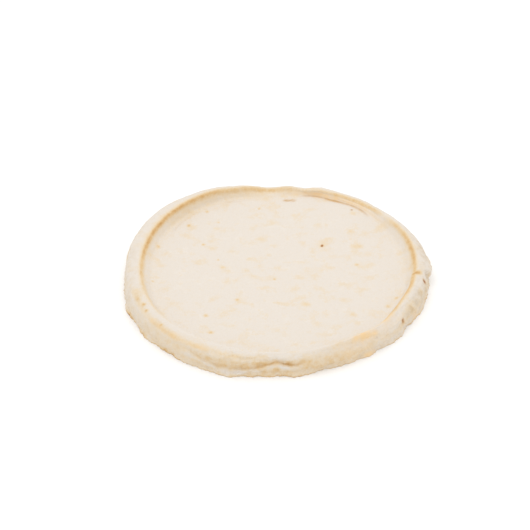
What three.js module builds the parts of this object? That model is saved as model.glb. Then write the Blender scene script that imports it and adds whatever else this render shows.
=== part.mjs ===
// A par-baked pizza crust: one round of dough whose edge is rolled up into an uneven rim.
// Millimetres, +Z up. It lies on its flat underside, with the middle of its outline on the Z axis.
// Angles are in degrees, anticlockwise from +X as seen from above, so 270 is the front.

import * as THREE from 'three';

// Driving dimensions
const BASE_RADIUS = 153; // edge of the underside
const RIM_HEIGHT = 22; // crest of the rim above the underside
const RIM_WIDTH = 16; // from the base edge in to the browned inner edge
const FLOOR_THICKNESS = 11; // dough under the recess for the topping
const WALL_RUN = 9; // inner wall and its rounded foot, measured inwards
const SHEET_EDGE = 3; // thin edge of the base sheet, below the roll of the rim
const SHEET_UNDERCUT = 0.8; // how far the underside stays inside that edge

// Fineness of the solid
const STEPS_ROUND = 144;
const STEPS_OVER_RIM = 21;

// Swells and dips round the edge: where, how wide (both in degrees) and by how much (in mm)
const OUTLINE_SWELLS = [
  { at: 12, spread: 14, by: 3 },
  { at: 90, spread: 17, by: -5 },
  { at: 138, spread: 26, by: 4 },
  { at: 180, spread: 14, by: -1.8 },
  { at: 245, spread: 26, by: 2.5 },
  { at: 267, spread: 8, by: -3 },
  { at: 300, spread: 28, by: -4.5 },
  { at: 329, spread: 6, by: -2 },
];
const INNER_EDGE_SWELLS = [
  { at: 22, spread: 26, by: 2.7 },
  { at: 116, spread: 14, by: 2.2 },
  { at: 178, spread: 30, by: -5.2 },
  { at: 308, spread: 16, by: 1.5 },
  { at: 332, spread: 11, by: -2.4 },
];
const HEIGHT_SWELLS = [
  { at: 50, spread: 18, by: -1.5 },
  { at: 77, spread: 4, by: -2.2 },
  { at: 94, spread: 15, by: -4.3 },
  { at: 127, spread: 25, by: 2 },
  { at: 272, spread: 18, by: -1.5 },
  { at: 300, spread: 14, by: 2 },
];

// Where the inner wall stands more upright: the share of its run that is taken up
const UPRIGHT_SWELLS = [
  { at: 45, spread: 9, by: 0.35 },
  { at: 57, spread: 10, by: 0.5 },
  { at: 73, spread: 9, by: 0.75 },
];

// The seam where the two ends of the rolled edge meet: a notch, and the knob of the upper end beside it
const SEAM = { at: 352, spread: 1.8, notch: 1.8, drop: 2.5, knob: 2.5, knobOffset: 5, knobSpread: 4 };

// The fold in the front wall, where the roll sags over a lower lip of dough
const FOLD = { at: 266, spread: 13, height: 11, thickness: 2.5, groove: 2 };

const INNER_EDGE = BASE_RADIUS - RIM_WIDTH;
const FLOOR_EDGE = INNER_EDGE - WALL_RUN;
const KNOB_HEIGHT = 0.6 * RIM_HEIGHT;

// Stations over the rim, from the neck above the base sheet to the edge of the floor
const WALL_DEPTH = RIM_HEIGHT - FLOOR_THICKNESS;
const RIM_STATIONS = {
  neck: { r: BASE_RADIUS - SHEET_UNDERCUT, z: SHEET_EDGE },
  belly: { r: BASE_RADIUS - 0.07 * RIM_WIDTH, z: 0.4 * RIM_HEIGHT },
  flank: { r: BASE_RADIUS - 0.14 * RIM_WIDTH, z: 0.65 * RIM_HEIGHT },
  shoulder: { r: BASE_RADIUS - 0.35 * RIM_WIDTH, z: 0.88 * RIM_HEIGHT },
  crest: { r: BASE_RADIUS - 0.74 * RIM_WIDTH, z: RIM_HEIGHT },
  innerEdge: { r: INNER_EDGE, z: FLOOR_THICKNESS + 0.9 * WALL_DEPTH },
  wall: { r: INNER_EDGE - 0.25 * WALL_RUN, z: FLOOR_THICKNESS + 0.5 * WALL_DEPTH },
  foot: { r: INNER_EDGE - 0.55 * WALL_RUN, z: FLOOR_THICKNESS + 0.12 * WALL_DEPTH },
  floorEdge: { r: FLOOR_EDGE, z: FLOOR_THICKNESS },
};

// Half section from the middle of the underside, out and up over the rim, to the middle of the floor
function halfSection() {
  const stations = Object.values(RIM_STATIONS).map(({ r, z }) => new THREE.Vector2(r, z));
  return [
    new THREE.Vector2(0, 0),
    new THREE.Vector2(BASE_RADIUS - SHEET_UNDERCUT, 0),
    new THREE.Vector2(BASE_RADIUS, SHEET_EDGE / 2),
    ...new THREE.SplineCurve(stations).getSpacedPoints(STEPS_OVER_RIM),
    new THREE.Vector2(0, FLOOR_THICKNESS),
  ];
}

// Smooth hump of height 1, about 1 wide to each side
function hump(x) {
  return Math.exp(-(x ** 2));
}

// Hump round a place on the circle
function bell(angle, at, spread) {
  const away = THREE.MathUtils.euclideanModulo(angle - at + 180, 360) - 180;
  return hump(away / spread);
}

function sumOfSwells(angle, swells) {
  return swells.reduce((sum, swell) => sum + swell.by * bell(angle, swell.at, swell.spread), 0);
}

// How far the fold draws in the outer wall at a height
function foldOffset(angle, z) {
  return -FOLD.groove * bell(angle, FOLD.at, FOLD.spread) * hump((z - FOLD.height) / FOLD.thickness);
}

// How far the seam moves the outer wall at a height: in at the notch, out at the knob beside it
function seamOffset(angle, z) {
  const alongKnob = bell(angle, SEAM.at + SEAM.knobOffset, SEAM.knobSpread);
  const upKnob = hump((z - KNOB_HEIGHT) / KNOB_HEIGHT);
  return SEAM.knob * alongKnob * upKnob - SEAM.notch * bell(angle, SEAM.at, SEAM.spread);
}

// How far the inner wall and the edge of the floor move outwards where the wall stands more upright
function wallOffset(angle, radius) {
  const reach = THREE.MathUtils.clamp(INNER_EDGE - radius, 0, WALL_RUN);
  return reach * sumOfSwells(angle, UPRIGHT_SWELLS);
}

// Turns a point of the plain ring into its place on the uneven crust
function unevenPoint(point) {
  const radius = Math.hypot(point.x, point.y);
  if (radius === 0) return point;
  const angle = THREE.MathUtils.radToDeg(Math.atan2(point.y, point.x));
  const { smoothstep } = THREE.MathUtils;

  const outerShare = smoothstep(radius, INNER_EDGE, BASE_RADIUS - SHEET_EDGE);
  const innerShare = (1 - outerShare) * smoothstep(radius, INNER_EDGE / 2, INNER_EDGE);
  const rimShare = smoothstep(point.z, FLOOR_THICKNESS, RIM_HEIGHT);

  const bulge = foldOffset(angle, point.z) + seamOffset(angle, point.z);
  const outline = sumOfSwells(angle, OUTLINE_SWELLS) + bulge;
  const innerEdge = sumOfSwells(angle, INNER_EDGE_SWELLS);
  const height = sumOfSwells(angle, HEIGHT_SWELLS) - SEAM.drop * bell(angle, SEAM.at, SEAM.spread);

  const newRadius = radius + outline * outerShare + innerEdge * innerShare;
  const stretch = (newRadius + wallOffset(angle, radius)) / radius;
  return new THREE.Vector3(point.x * stretch, point.y * stretch, point.z + height * rimShare);
}

function crustGeometry() {
  const geometry = new THREE.LatheGeometry(halfSection(), STEPS_ROUND);
  geometry.rotateX(Math.PI / 2);

  const position = geometry.attributes.position;
  const point = new THREE.Vector3();
  for (let i = 0; i < position.count; i += 1) {
    const moved = unevenPoint(point.fromBufferAttribute(position, i));
    position.setXYZ(i, moved.x, moved.y, moved.z);
  }

  geometry.computeBoundingBox();
  const middle = geometry.boundingBox.getCenter(new THREE.Vector3());
  geometry.translate(-middle.x, -middle.y, 0);
  geometry.computeVertexNormals();
  return geometry;
}

const paleDough = new THREE.MeshStandardMaterial({ color: 0xebdfcb, roughness: 0.85, metalness: 0 });

const crust = new THREE.Mesh(crustGeometry(), paleDough);
crust.name = 'crust';

const pizzaCrust = new THREE.Group();
pizzaCrust.add(crust);

export default pizzaCrust;
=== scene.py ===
"""Looks of a par-baked pizza crust, in the frame of its CAD solid.

The scene is in metres with +Z up and the front at -Y. Sizes of the crust are in millimetres and its
angles in degrees, anticlockwise from +X as seen from above, so 270 is the front.
"""

import logging
import math
from dataclasses import dataclass, fields, replace
from enum import Enum

import bpy
import numpy as np
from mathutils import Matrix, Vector


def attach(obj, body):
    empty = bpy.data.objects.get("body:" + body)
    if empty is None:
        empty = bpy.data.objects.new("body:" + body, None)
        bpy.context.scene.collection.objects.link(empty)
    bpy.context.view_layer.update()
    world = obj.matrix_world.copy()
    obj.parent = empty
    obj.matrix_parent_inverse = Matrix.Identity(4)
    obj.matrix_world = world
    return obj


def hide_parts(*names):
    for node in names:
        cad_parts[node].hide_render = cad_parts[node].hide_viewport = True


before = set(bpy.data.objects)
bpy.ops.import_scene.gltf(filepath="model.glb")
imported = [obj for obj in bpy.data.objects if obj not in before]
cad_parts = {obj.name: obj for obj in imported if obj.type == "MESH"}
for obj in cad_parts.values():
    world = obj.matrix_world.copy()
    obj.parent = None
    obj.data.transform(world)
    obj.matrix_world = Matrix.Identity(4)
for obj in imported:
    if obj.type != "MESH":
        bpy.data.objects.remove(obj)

LOG = logging.getLogger("pizza crust")
MM = 0.001
FULL_TURN = 360.0
HALF_TURN = 180.0
PHOTO_SIDE = 530
COARSE_DETAIL = 1.0
SOFT_DETAIL = 2.0
FINE_DETAIL = 3.0
NO_FADE = 1000.0
Rgb = tuple[int, int, int]


def linear(red: int, green: int, blue: int) -> tuple[float, float, float, float]:
    """Turns an sRGB colour of 0 to 255 into the renderer's linear colour.

    Args:
        red: Red part.
        green: Green part.
        blue: Blue part.

    Returns:
        Linear red, green and blue, and an alpha of 1.
    """
    parts = []
    for part in (red, green, blue):
        share = part / 255
        parts.append(share / 12.92 if share <= 0.04045 else ((share + 0.055) / 1.055) ** 2.4)
    return parts[0], parts[1], parts[2], 1.0


class Field:
    """A node's output, which plain arithmetic joins to others through math nodes."""

    def __init__(self, sheet: "NodeSheet", socket: bpy.types.NodeSocket) -> None:
        """Keeps the sheet and the socket."""
        self.sheet = sheet
        self.socket = socket

    def __add__(self, other: "Operand") -> "Field":
        """Sum of this and another."""
        return self.sheet.math("ADD", self, other)

    def __sub__(self, other: "Operand") -> "Field":
        """Difference of this and another."""
        return self.sheet.math("SUBTRACT", self, other)

    def __rsub__(self, other: "Operand") -> "Field":
        """Difference of a number and this."""
        return self.sheet.math("SUBTRACT", other, self)

    def __mul__(self, other: "Operand") -> "Field":
        """Product of this and another."""
        return self.sheet.math("MULTIPLY", self, other)

    def __truediv__(self, other: "Operand") -> "Field":
        """Quotient of this and another."""
        return self.sheet.math("DIVIDE", self, other)

    def __rtruediv__(self, other: "Operand") -> "Field":
        """Quotient of a number and this."""
        return self.sheet.math("DIVIDE", other, self)

    def __neg__(self) -> "Field":
        """This with its sign changed."""
        return self.sheet.math("MULTIPLY", self, -1.0)

    __radd__ = __add__
    __rmul__ = __mul__

    def hump(self) -> "Field":
        """Smooth hump of height 1 round zero, about 1 wide to each side."""
        return self.sheet.math("EXPONENT", -(self * self))

    def rise(self, low: "Operand", high: "Operand") -> "Field":
        """Rises smoothly from 0 at low to 1 at high."""
        return self.sheet.map_range(self, low, high)

    def fall(self, low: "Operand", high: "Operand") -> "Field":
        """Falls smoothly from 1 at low to 0 at high."""
        return 1.0 - self.rise(low, high)

    def limited(self) -> "Field":
        """This, kept between 0 and 1."""
        return self.sheet.math("MINIMUM", self.sheet.math("MAXIMUM", self, 0.0), 1.0)

    def positive(self) -> "Field":
        """This where it is above 0, and 0 elsewhere."""
        return self.sheet.math("MAXIMUM", self, 0.0)


Operand = Field | float | tuple


class NodeSheet:
    """A node tree that is filled in by formulas."""

    def __init__(self, tree: bpy.types.NodeTree) -> None:
        """Keeps the tree."""
        self.tree = tree

    def node(self, kind: str, **settings: object) -> bpy.types.Node:
        """Adds a node.

        Args:
            kind: Blender's name for the kind of node.
            **settings: Properties to set on it.

        Returns:
            The node.
        """
        made = self.tree.nodes.new(kind)
        for name, value in settings.items():
            setattr(made, name, value)
        return made

    def feed(self, socket: bpy.types.NodeSocket, value: object) -> None:
        """Links a field to a socket, or sets a plain value on it.

        Args:
            socket: The input to feed.
            value: A field, a node's output or a plain value.
        """
        if isinstance(value, Field):
            self.tree.links.new(value.socket, socket)
        elif isinstance(value, bpy.types.NodeSocket):
            self.tree.links.new(value, socket)
        else:
            socket.default_value = value

    def math(self, operation: str, *operands: Operand) -> Field:
        """Adds one math node.

        Args:
            operation: Blender's name for the operation.
            *operands: Its inputs in order.

        Returns:
            The result.
        """
        made = self.node("ShaderNodeMath", operation=operation)
        for socket, value in zip(made.inputs, operands):
            self.feed(socket, value)
        return Field(self, made.outputs[0])

    def vector_math(self, operation: str, first: Operand, second: Operand) -> Field:
        """Adds one vector math node with two inputs.

        Args:
            operation: Blender's name for the operation.
            first: First vector.
            second: Second vector, or the scale.

        Returns:
            The vector or number that comes out.
        """
        made = self.node("ShaderNodeVectorMath", operation=operation)
        self.feed(made.inputs[0], first)
        self.feed(made.inputs["Scale"] if operation == "SCALE" else made.inputs[1], second)
        wanted = "Value" if operation in ("DISTANCE", "DOT_PRODUCT") else "Vector"
        return Field(self, made.outputs[wanted])

    def parts(self, vector: Field) -> tuple[Field, Field, Field]:
        """Splits a vector into its three numbers.

        Args:
            vector: The vector.

        Returns:
            Its parts along X, Y and Z.
        """
        made = self.node("ShaderNodeSeparateXYZ")
        self.feed(made.inputs[0], vector)
        return tuple(Field(self, socket) for socket in made.outputs)

    def vector(self, x: Operand, y: Operand, z: Operand) -> Field:
        """Joins three numbers into a vector.

        Args:
            x: Part along X.
            y: Part along Y.
            z: Part along Z.

        Returns:
            The vector.
        """
        made = self.node("ShaderNodeCombineXYZ")
        for socket, value in zip(made.inputs, (x, y, z)):
            self.feed(socket, value)
        return Field(self, made.outputs[0])

    def map_range(self, value: Field, low: Operand, high: Operand) -> Field:
        """Rises smoothly from 0 to 1 between two values.

        Args:
            value: What is mapped.
            low: Where it is 0.
            high: Where it is 1.

        Returns:
            The share.
        """
        made = self.node("ShaderNodeMapRange", interpolation_type="SMOOTHSTEP")
        self.feed(made.inputs["Value"], value)
        self.feed(made.inputs["From Min"], low)
        self.feed(made.inputs["From Max"], high)
        return Field(self, made.outputs["Result"])

    def noise(self, place: Field, size: Operand, seed: Operand, detail: float = SOFT_DETAIL) -> Field:
        """Soft noise of about -1 to 1.

        Args:
            place: Where to read it.
            size: Size of its largest lumps, in the units of the place.
            seed: Which of many such noises.
            detail: How many finer layers it has.

        Returns:
            The noise.
        """
        made = self.node("ShaderNodeTexNoise", noise_dimensions="4D", normalize=False)
        self.feed(made.inputs["Vector"], place)
        self.feed(made.inputs["W"], seed)
        self.feed(made.inputs["Scale"], 1 / size)
        self.feed(made.inputs["Detail"], detail)
        return Field(self, made.outputs[0])

    def cells(self, place: Field, size: Operand) -> tuple[Field, Field]:
        """Scattered points, one in each cell of a rough grid.

        Args:
            place: Where to read them.
            size: Distance between the points, in the units of the place.

        Returns:
            The distance to the nearest point and a random number of 0 to 1 that belongs to it.
        """
        made = self.node("ShaderNodeTexVoronoi", voronoi_dimensions="3D", feature="F1")
        self.feed(made.inputs["Vector"], place)
        self.feed(made.inputs["Scale"], 1 / size)
        chance = self.parts(Field(self, made.outputs["Color"]))[0]
        return Field(self, made.outputs["Distance"]) * size, chance

    def mix(self, share: Operand, first: Operand, second: Operand) -> Field:
        """Mixes two colours.

        Args:
            share: How much of the second one shows.
            first: Colour at 0.
            second: Colour at 1.

        Returns:
            The mixed colour.
        """
        # The colour sockets share their names with others, so they are picked by number.
        made = self.node("ShaderNodeMix", data_type="RGBA")
        self.feed(made.inputs[0], share)
        self.feed(made.inputs[6], first)
        self.feed(made.inputs[7], second)
        return Field(self, made.outputs[2])


@dataclass(frozen=True)
class Swell:
    """A soft rise or dip at one place round the rim.

    Attributes:
        at: Where, in degrees.
        spread: How wide to each side, in degrees.
        by: How much.
    """

    at: float
    spread: float
    by: float


@dataclass(frozen=True)
class Around:
    """A value that differs round the rim.

    Attributes:
        level: The value away from all swells.
        swells: Its swells and dips.
    """

    level: float = 0.0
    swells: tuple[Swell, ...] = ()


class Station(Enum):
    """Named places along the half section, from the edge of the underside to that of the floor."""

    BASE = "base"
    TIP = "tip"
    NECK = "neck"
    BELLY = "belly"
    FLANK = "flank"
    SHOULDER = "shoulder"
    CREST = "crest"
    INNER_EDGE = "inner edge"
    WALL = "wall"
    FOOT = "foot"
    FLOOR_EDGE = "floor edge"


@dataclass(frozen=True)
class HalfSection:
    """Half section of the plain ring, from the middle of the underside to that of the floor.

    Attributes:
        base_radius: Radius of the edge of the base sheet.
        rim_height: Height of the crest of the rim.
        rim_width: Width of the rim from the edge of the base sheet to its inner edge.
        floor_thickness: Thickness of the dough under the recess.
        wall_run: Width that the slope of the inner wall takes up.
        sheet_edge: Thickness of the edge of the base sheet.
        sheet_undercut: How far the neck above that edge lies inside it.
        base_undercut: How far the underside ends inside it.
        tip_height: Height of its outermost line, as a share of its thickness.
        rim_shape: Places of the rim, as shares of its width inwards and of its height.
        wall_shape: Places of the inner wall, as shares of its run and of the recess's depth.
        underside_steps: Steps of the mesh from the middle of the underside outwards.
        edge_steps: Steps over the edge of the base sheet.
        rim_steps: Steps over the rim.
        floor_steps: Steps from the edge of the floor to its middle.
        curve_steps: Points of the smooth curve between two places.
        crowding: How much closer the steps lie towards the rim, where 1 is even.
    """

    base_radius: float = 153.0
    rim_height: float = 22.0
    rim_width: float = 16.0
    floor_thickness: float = 11.0
    wall_run: float = 9.0
    sheet_edge: float = 3.0
    sheet_undercut: float = 0.8
    base_undercut: float = 0.3
    tip_height: float = 0.12
    rim_shape: tuple[tuple[Station, float, float], ...] = (
        (Station.BELLY, 0.07, 0.4),
        (Station.FLANK, 0.14, 0.65),
        (Station.SHOULDER, 0.35, 0.88),
        (Station.CREST, 0.74, 1.0),
    )
    wall_shape: tuple[tuple[Station, float, float], ...] = (
        (Station.INNER_EDGE, 0.0, 0.9),
        (Station.WALL, 0.25, 0.5),
        (Station.FOOT, 0.55, 0.12),
        (Station.FLOOR_EDGE, 1.0, 0.0),
    )
    underside_steps: int = 12
    edge_steps: int = 6
    rim_steps: int = 84
    floor_steps: int = 30
    curve_steps: int = 40
    crowding: float = 1.4

    @property
    def inner_edge(self) -> float:
        """Radius of the browned inner edge of the rim."""
        return self.base_radius - self.rim_width

    @property
    def floor_edge(self) -> float:
        """Radius at which the floor begins."""
        return self.inner_edge - self.wall_run

    def stations(self) -> dict[Station, tuple[float, float]]:
        """Radius and height of each named place.

        Returns:
            The places by name.
        """
        places = {
            Station.BASE: (self.base_radius - self.base_undercut, 0.0),
            Station.TIP: (self.base_radius, self.tip_height * self.sheet_edge),
            Station.NECK: (self.base_radius - self.sheet_undercut, self.sheet_edge),
        }
        for name, across, up in self.rim_shape:
            places[name] = (self.base_radius - across * self.rim_width, up * self.rim_height)
        depth = self.rim_height - self.floor_thickness
        for name, across, up in self.wall_shape:
            height = self.floor_thickness + up * depth
            places[name] = (self.inner_edge - across * self.wall_run, height)
        return places

    def over_rim(self) -> np.ndarray:
        """Evenly spaced points of a smooth curve from the neck over the rim to the floor's edge.

        Returns:
            The points.
        """
        names = list(Station)
        knots = np.array([self.stations()[name] for name in names[names.index(Station.NECK) :]])
        padded = np.vstack([knots[:1], knots, knots[-1:]])
        steps = np.linspace(0.0, 1.0, self.curve_steps, endpoint=False)[:, None]
        curve = []
        for a, b, c, d in zip(padded, padded[1:], padded[2:], padded[3:]):
            cubic = 2 * b - 2 * c + (c - a) / 2 + (d - b) / 2
            square = 3 * c - 3 * b - (c - a) - (d - b) / 2
            curve.append(((cubic * steps + square) * steps + (c - a) / 2) * steps + b)
        return resampled(np.vstack([*curve, knots[-1:]]), self.rim_steps)

    def outline(self) -> np.ndarray:
        """Radius and height of every point of the section, in order.

        Returns:
            The points.
        """
        places = self.stations()
        base, tip, neck = (np.array(places[k]) for k in (Station.BASE, Station.TIP, Station.NECK))
        out = 1 - np.linspace(1.0, 0.0, self.underside_steps, endpoint=False) ** self.crowding
        reach = 1 - np.linspace(0.0, 1.0, self.floor_steps + 1)[1:] ** self.crowding
        underside = np.outer(out, base)
        edge = resampled(np.array([base, tip, neck]), self.edge_steps)
        floor = np.column_stack(
            [reach * self.floor_edge, np.full(self.floor_steps, self.floor_thickness)]
        )
        return np.vstack([underside, edge[:-1], self.over_rim(), floor])

    def along(self) -> np.ndarray:
        """Distance along the section of every point of it."""
        steps = np.linalg.norm(np.diff(self.outline(), axis=0), axis=1)
        return np.concatenate([[0.0], np.cumsum(steps)])

    def along_at(self, station: Station) -> float:
        """Distance along the section of a named place."""
        gaps = np.linalg.norm(self.outline() - np.array(self.stations()[station]), axis=1)
        return float(self.along()[gaps.argmin()])


def resampled(points: np.ndarray, steps: int) -> np.ndarray:
    """Spaces points evenly along a line.

    Args:
        points: Corners of the line.
        steps: Number of steps wanted.

    Returns:
        The new points, one more than the steps.
    """
    lengths = np.concatenate([[0.0], np.cumsum(np.linalg.norm(np.diff(points, axis=0), axis=1))])
    wanted = np.linspace(0.0, lengths[-1], steps + 1)
    return np.column_stack([np.interp(wanted, lengths, column) for column in points.T])


def swell_tree() -> bpy.types.NodeTree:
    """Builds the small tree that adds one swell round the rim to a sum of them.

    Returns:
        The tree.
    """
    tree = bpy.data.node_groups.new("swell round the rim", "GeometryNodeTree")
    for name in ("Angle", "At", "Spread", "By", "Sum"):
        tree.interface.new_socket(name, in_out="INPUT", socket_type="NodeSocketFloat")
    tree.interface.new_socket("Sum", in_out="OUTPUT", socket_type="NodeSocketFloat")
    sheet = NodeSheet(tree)
    given = sheet.node("NodeGroupInput").outputs
    angle, at, spread, by, total = (Field(sheet, given[index]) for index in range(5))
    away = sheet.math("WRAP", angle - at, HALF_TURN, -HALF_TURN)
    sheet.feed(sheet.node("NodeGroupOutput").inputs["Sum"], (away / spread).hump() * by + total)
    return tree


@dataclass
class PlainPlace:
    """Where a point lies on the plain ring, in millimetres and degrees, as fields of a tree."""

    sheet: NodeSheet
    spot: Field
    radius: Field
    height: Field
    angle: Field
    along: Field
    swell: bpy.types.NodeTree

    def away(self, at: Operand) -> Field:
        """Degrees round the rim from a place, from -180 to 180."""
        return self.sheet.math("WRAP", self.angle - at, HALF_TURN, -HALF_TURN)

    def bell(self, at: Operand, spread: Operand, by: Operand = 1.0, level: Operand = 0.0) -> Field:
        """Adds one swell to a level.

        Args:
            at: Where it is, in degrees.
            spread: How wide it is to each side, in degrees.
            by: How high it is.
            level: What it is added to.

        Returns:
            The sum.
        """
        made = self.sheet.node("GeometryNodeGroup", node_tree=self.swell)
        for socket, value in zip(made.inputs, (self.angle, at, spread, by, level)):
            self.sheet.feed(socket, value)
        return Field(self.sheet, made.outputs[0])

    def swells(self, rows: tuple[Swell, ...], level: Operand = 0.0) -> Field:
        """Adds swells to a level.

        Args:
            rows: The swells.
            level: Value away from all of them.

        Returns:
            The sum.
        """
        total = self.sheet.math("ADD", level, 0.0)
        for row in rows:
            total = self.bell(row.at, row.spread, row.by, total)
        return total

    def around(self, value: Around) -> Field:
        """A value that differs round the rim."""
        return self.swells(value.swells, value.level)

    def arc(self, start: Operand, end: Operand, soft: Operand) -> Field:
        """Is 1 between two angles and fades out over a few degrees beyond them.

        Args:
            start: First angle.
            end: Last angle, larger than the first.
            soft: Width of each fade.

        Returns:
            The share.
        """
        half = (end - start) * 0.5
        gap = self.sheet.math("ABSOLUTE", self.away(start + half))
        return gap.fall(half, half + soft)

    def band(self, first: Operand, last: Operand, outward: Operand, inward: Operand) -> Field:
        """Is 1 on a stretch of the section and fades out on both sides of it.

        Args:
            first: Distance along the section of its end towards the underside.
            last: Distance along the section of its end towards the floor.
            outward: Width of the fade towards the underside.
            inward: Width of the fade towards the floor.

        Returns:
            The share.
        """
        outside = ((first - self.along).positive() / outward).hump()
        inside = ((self.along - last).positive() / inward).hump()
        return outside * inside


@dataclass(frozen=True)
class Seam:
    """The seam where the two ends of the rolled edge meet, and the knob of one end beside it."""

    at: Operand = 352.4
    lean: Operand = 0.4
    width: Operand = 4.2
    depth: Operand = 0.3
    tint: Operand = 0.8
    drop: Operand = 0.4
    spread: Operand = 1.3
    notch: Operand = 4.2
    notch_offset: Operand = 2.6
    notch_spread: Operand = 1.5
    notch_foot: Operand = 1.0
    notch_head: Operand = 6.0
    knob: Operand = 4.2
    knob_offset: Operand = 8.0
    knob_spread: Operand = 4.8
    knob_height: Operand = 15.0
    knob_rise: Operand = 6.0
    rough: Operand = 1.6
    rough_size: Operand = 4.5
    rough_seed: Operand = 8.0
    rough_spread: Operand = 11.0


@dataclass(frozen=True)
class Fold:
    """The fold in the front wall, where the roll sags over a lower lip of dough."""

    height: Operand = 10.0
    groove: Operand = 3.4
    width: Operand = 1.2
    undercut: Operand = 4.5
    roll: Operand = 1.2
    roll_height: Operand = 8.0
    sag: Operand = 1.0
    unrest: Operand = 1.6
    unrest_size: Operand = 7.0
    unrest_seed: Operand = 9.0
    tint_above: Operand = 2.0
    tint_below: Operand = 1.0
    pale: Operand = 0.5
    pale_depth: Operand = 3.2
    pale_spread: Operand = 2.0
    waves: tuple[Swell, ...] = (
        Swell(236, 8, 4.0),
        Swell(255, 7, -2.8),
        Swell(271, 3.2, 5.0),
        Swell(282, 4, 4.0),
    )
    strength: tuple[Swell, ...] = (
        Swell(243, 9, 0.4),
        Swell(260, 8, 0.6),
        Swell(274, 5.5, 0.8),
    )
    tint: tuple[Swell, ...] = (
        Swell(250, 10, 0.2),
        Swell(263, 4, 0.3),
        Swell(268, 3.5, 0.7),
        Swell(274.5, 3, 1.0),
        Swell(279, 2, 0.4),
    )


@dataclass(frozen=True)
class BaseEdge:
    """The torn edge of the base sheet, which stands out below the roll of the rim."""

    height: Operand = 4.5
    inset: Operand = 0.4
    ragged_size: Operand = 8.0
    ragged_seed: Operand = 7.0
    ragged: Operand = 1.1
    torn_size: Operand = 3.0
    torn_seed: Operand = 10.0
    torn: Operand = 1.3
    neck_height: Operand = 5.2
    neck_spread: Operand = 2.2
    neck: Around = Around(0.3, (Swell(335, 18, 0.3), Swell(278, 8, 0.6), Swell(222, 18, 0.3)))
    swells: tuple[Swell, ...] = (
        Swell(202, 4, 1.5),
        Swell(210, 3, -1.0),
        Swell(218, 4, 1.6),
        Swell(231, 2.5, -1.5),
        Swell(236, 4, 1.0),
        Swell(254, 4, 2.6),
        Swell(267, 3, 1.6),
        Swell(273, 2, -1.2),
        Swell(277.5, 2.6, 2.6),
        Swell(288, 3, -2.4),
        Swell(303, 1.8, -0.8),
        Swell(306.5, 2.6, 1.5),
        Swell(312, 2.2, -1.6),
        Swell(318, 4, 1.0),
        Swell(324, 2.2, 1.6),
        Swell(328.5, 3, -1.4),
        Swell(341, 4, 1.0),
    )


@dataclass(frozen=True)
class InnerWall:
    """How upright the inner wall stands.

    Attributes:
        upright: Share of the wall's run that is taken up: 1 where it stands upright, and
            below 0 where it is flatter than elsewhere.
        lift: How far the floor is raised at the foot of the wall.
        still_radius: Radius within which the floor stays as it is.
        moved_radius: Radius from which the floor moves with the foot of the wall.
        low: Height below which nothing moves.
        high: Height from which all of it moves.
    """

    upright: Around = Around(
        0.0,
        (
            Swell(73, 9, 0.75),
            Swell(57, 10, 0.5),
            Swell(45, 9, 0.35),
            Swell(93, 8, -0.7),
            Swell(186, 28, -1.0),
            Swell(8, 24, -0.9),
        ),
    )
    lift: Around = Around(0.0, (Swell(58, 22, 4.4), Swell(47, 9, 2.2)))
    still_radius: Operand = 60.0
    moved_radius: Operand = 125.0
    low: Operand = 4.0
    high: Operand = 10.0


@dataclass(frozen=True)
class Slump:
    """Where the shoulder of the rim has sunk and spread outwards."""

    sunk: Around = Around(0.0, (Swell(311, 24, 2.6),))
    reach: Operand = 7.0
    outward: Operand = 0.35


@dataclass(frozen=True)
class Crease:
    """A fine crease that runs along the rim.

    Attributes:
        start: Angle of its first end.
        end: Angle of its other end, larger than the first.
        station: Place of the section that it keeps to.
        offset: How far inside that place its first end lies, along the section.
        slant: How much further inside its other end lies.
        width: Its width to each side.
        depth: How deep it is.
        tint: How browned it is, from 0 to 1.
    """

    start: float
    end: float
    station: Station
    offset: float
    slant: float
    width: float
    depth: float
    tint: float

    @property
    def length(self) -> float:
        """Degrees from its first end to its other end."""
        return self.end - self.start

    @property
    def fade(self) -> float:
        """A quarter of its length, over which it fades out at each end."""
        return self.length / 4


@dataclass(frozen=True)
class Relief:
    """Small unevenness of the skin: lumps, fine skin, wrinkles, mottling and blisters.

    Blisters rise where the chance of a cell is above blister_from, and fully above blister_full.
    The floor has the floor_share of the rim's unevenness.
    """

    lump_size: Operand = 26.0
    lump: Operand = 0.6
    lump_seed: Operand = 4.0
    skin_size: Operand = 7.0
    skin: Operand = 0.25
    skin_seed: Operand = 5.0
    wrinkle_size: Operand = 3.4
    wrinkle_stretch: Operand = 6.0
    wrinkle: Operand = 0.9
    wrinkle_seed: Operand = 6.0
    mottle_size: Operand = 6.0
    mottle: Operand = 1.1
    mottle_seed: Operand = 11.0
    blister_size: Operand = 17.0
    blister_radius: Operand = 4.5
    blister_least: Operand = 1.0
    blister: Operand = 0.6
    blister_from: Operand = 0.45
    blister_full: Operand = 0.9
    floor_share: Operand = 0.5
    wrinkled: Around = Around(0.15, (Swell(257, 10, 0.6), Swell(325, 40, 0.5)))
    mottled: Around = Around(0.3, (Swell(320, 35, 0.9), Swell(255, 12, 0.8)))


@dataclass(frozen=True)
class BakeMap:
    """How a texture map is shared out between the discs of the top and the underside.

    Attributes:
        top: Width of the disc of the top, as a share of the map.
        under: Width of the disc of the underside, as a share of the map.
        margin: Free strip at the edge of the map, as a share of it.
        step: Half the width along the section of the step from one disc to the other.
    """

    top: float = 0.74
    under: float = 0.41
    margin: float = 0.005
    step: float = 0.02


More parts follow.
